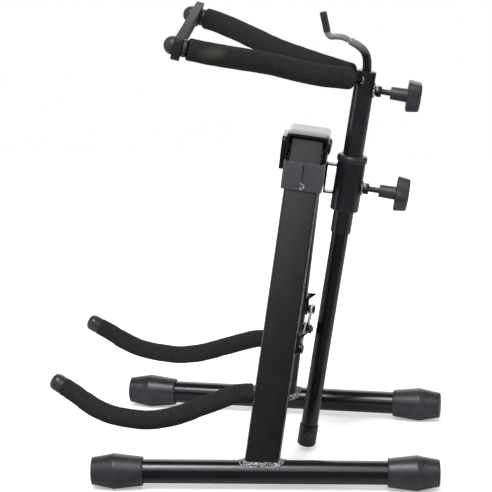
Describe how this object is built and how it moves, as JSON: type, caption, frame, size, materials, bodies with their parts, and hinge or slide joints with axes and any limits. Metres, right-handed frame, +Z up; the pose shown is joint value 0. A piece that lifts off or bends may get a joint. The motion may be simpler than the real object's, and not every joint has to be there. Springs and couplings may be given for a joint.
{
  "type": "violin stand",
  "caption": "Folding A-frame violin stand with padded lyre fork, rubber strap, two padded support arms, bow hook and capped feet.",
  "frame": {"origin": "centre of the footprint of the whole stand, on the floor", "axes": "+Z up, the instrument side faces -Y, +X is the stand's side towards the camera, which is the instrument's left-hand side when it leans in the stand"},
  "size_m": [0.2676, 0.3605, 0.4251],
  "materials": {
    "black_painted_steel": "semi-gloss black paint",
    "black_leg_paint": "satin black paint",
    "dark_zinc_screw": "dark plated",
    "black_foam": "closed-cell foam, matte",
    "grey_black_rubber": "matte moulded rubber",
    "black_plastic": "moulded, fine grain",
    "grey_rubber_strap": "matte moulded rubber"
  },
  "bodies": {
    "head": {"top_bracket": "black_painted_steel", "front_plate": "black_painted_steel", "leg_ring": "black_painted_steel", "holder_bracket": "black_painted_steel", "tube_holder": "black_painted_steel", "holder_lower_bush": "black_plastic", "holder_nut": "black_painted_steel", "right_pivot_rivet": "black_painted_steel", "left_pivot_rivet": "black_painted_steel"},
    "right_leg": {"right_leg": "black_leg_paint", "right_foot_tube": "black_painted_steel", "right_front_cap": "grey_black_rubber", "right_rear_cap": "grey_black_rubber", "right_arm_rod": "black_painted_steel", "right_arm_foam": "black_foam", "right_arm_tip": "black_plastic", "right_brace_tab": "black_painted_steel", "right_brace_pin": "dark_zinc_screw"},
    "left_leg": {"left_leg": "black_leg_paint", "left_foot_tube": "black_painted_steel", "left_front_cap": "grey_black_rubber", "left_rear_cap": "grey_black_rubber", "left_arm_rod": "black_painted_steel", "left_arm_foam": "black_foam", "left_arm_tip": "black_plastic", "left_brace_tab": "black_painted_steel", "left_brace_pin": "dark_zinc_screw", "left_brace_spacer": "dark_zinc_screw"},
    "right_link": {"right_brace_link": "black_painted_steel", "brace_bolt": "dark_zinc_screw"},
    "left_link": {"left_brace_link": "black_painted_steel", "brace_nut": "dark_zinc_screw"},
    "bush": {"holder_bush": "grey_black_rubber"},
    "yoke": {"yoke_tube": "black_painted_steel", "yoke_nut": "black_painted_steel", "right_yoke_rod": "black_painted_steel", "right_yoke_foam": "black_foam", "right_yoke_collar": "black_plastic", "right_yoke_ball": "black_plastic", "left_yoke_rod": "black_painted_steel", "left_yoke_foam": "black_foam", "left_yoke_collar": "black_plastic", "left_yoke_ball": "black_plastic"},
    "strap": {"yoke_strap": "grey_rubber_strap"},
    "bow_carrier": {"bow_tube_plug": "black_plastic"},
    "bow_stem": {"bow_tube": "black_painted_steel", "bow_tube_cap": "black_plastic", "bow_hook": "black_painted_steel", "bow_hook_tip": "grey_black_rubber"},
    "lower_knob": {"lower_knob": "black_plastic", "lower_screw": "dark_zinc_screw"},
    "upper_knob": {"upper_knob": "black_plastic", "upper_screw": "dark_zinc_screw"}
  },
  "joints": [
    {"name": "right_leg_fold", "type": "hinge", "parent": "head", "child": "right_leg", "pos_m": [0.0104, 0.05069, 0.30161], "axis": [0, 0.9925, -0.1219], "range_deg": [0, 16]},
    {"name": "left_leg_fold", "type": "hinge", "parent": "head", "child": "left_leg", "pos_m": [-0.0104, 0.05069, 0.30161], "axis": [0, -0.9925, 0.1219], "range_deg": [0, 16]},
    {"name": "right_brace_fold", "type": "hinge", "parent": "right_leg", "child": "right_link", "pos_m": [0.06657, 0.02895, 0.12452], "axis": [0, 0.9925, -0.1219], "range_deg": [0, 60.8]},
    {"name": "left_brace_fold", "type": "hinge", "parent": "left_leg", "child": "left_link", "pos_m": [-0.06657, 0.02895, 0.12452], "axis": [0, -0.9925, 0.1219], "range_deg": [0, 60.8]},
    {"name": "yoke_swivel", "type": "hinge", "parent": "head", "child": "bush", "pos_m": [0, 0.08778, 0.25987], "axis": [0, 0.1461, 0.9893], "continuous": true},
    {"name": "yoke_slide", "type": "slide", "parent": "bush", "child": "yoke", "axis": [0, 0.1461, 0.9893], "range_m": [0, 0.037]},
    {"name": "strap_swing", "type": "hinge", "parent": "yoke", "child": "strap", "pos_m": [0.09621, -0.05451, 0.40468], "axis": [-0.0347, 0.9705, -0.2384], "range_deg": [0, 100]},
    {"name": "bow_slide", "type": "slide", "parent": "yoke", "child": "bow_carrier", "axis": [0, 0.1461, 0.9893], "range_m": [0, 0.17]},
    {"name": "bow_swivel", "type": "hinge", "parent": "bow_carrier", "child": "bow_stem", "pos_m": [0, 0.08778, 0.25987], "axis": [0, 0.1461, 0.9893], "continuous": true},
    {"name": "lower_knob_turn", "type": "hinge", "parent": "head", "child": "lower_knob", "pos_m": [0, 0.08813, 0.26225], "axis": [0, 0.9893, -0.1461], "range_deg": [0, 720]},
    {"name": "upper_knob_turn", "type": "hinge", "parent": "yoke", "child": "upper_knob", "pos_m": [0, 0.10166, 0.35386], "axis": [-0.0349, 0.9887, -0.146], "range_deg": [0, 720]}
  ],
  "couplings": [
    {"joint": "left_leg_fold", "follows": "right_leg_fold", "ratio": 1},
    {"joint": "right_brace_fold", "follows": "right_leg_fold", "ratio": 3.8},
    {"joint": "left_brace_fold", "follows": "right_leg_fold", "ratio": 3.8}
  ]
}
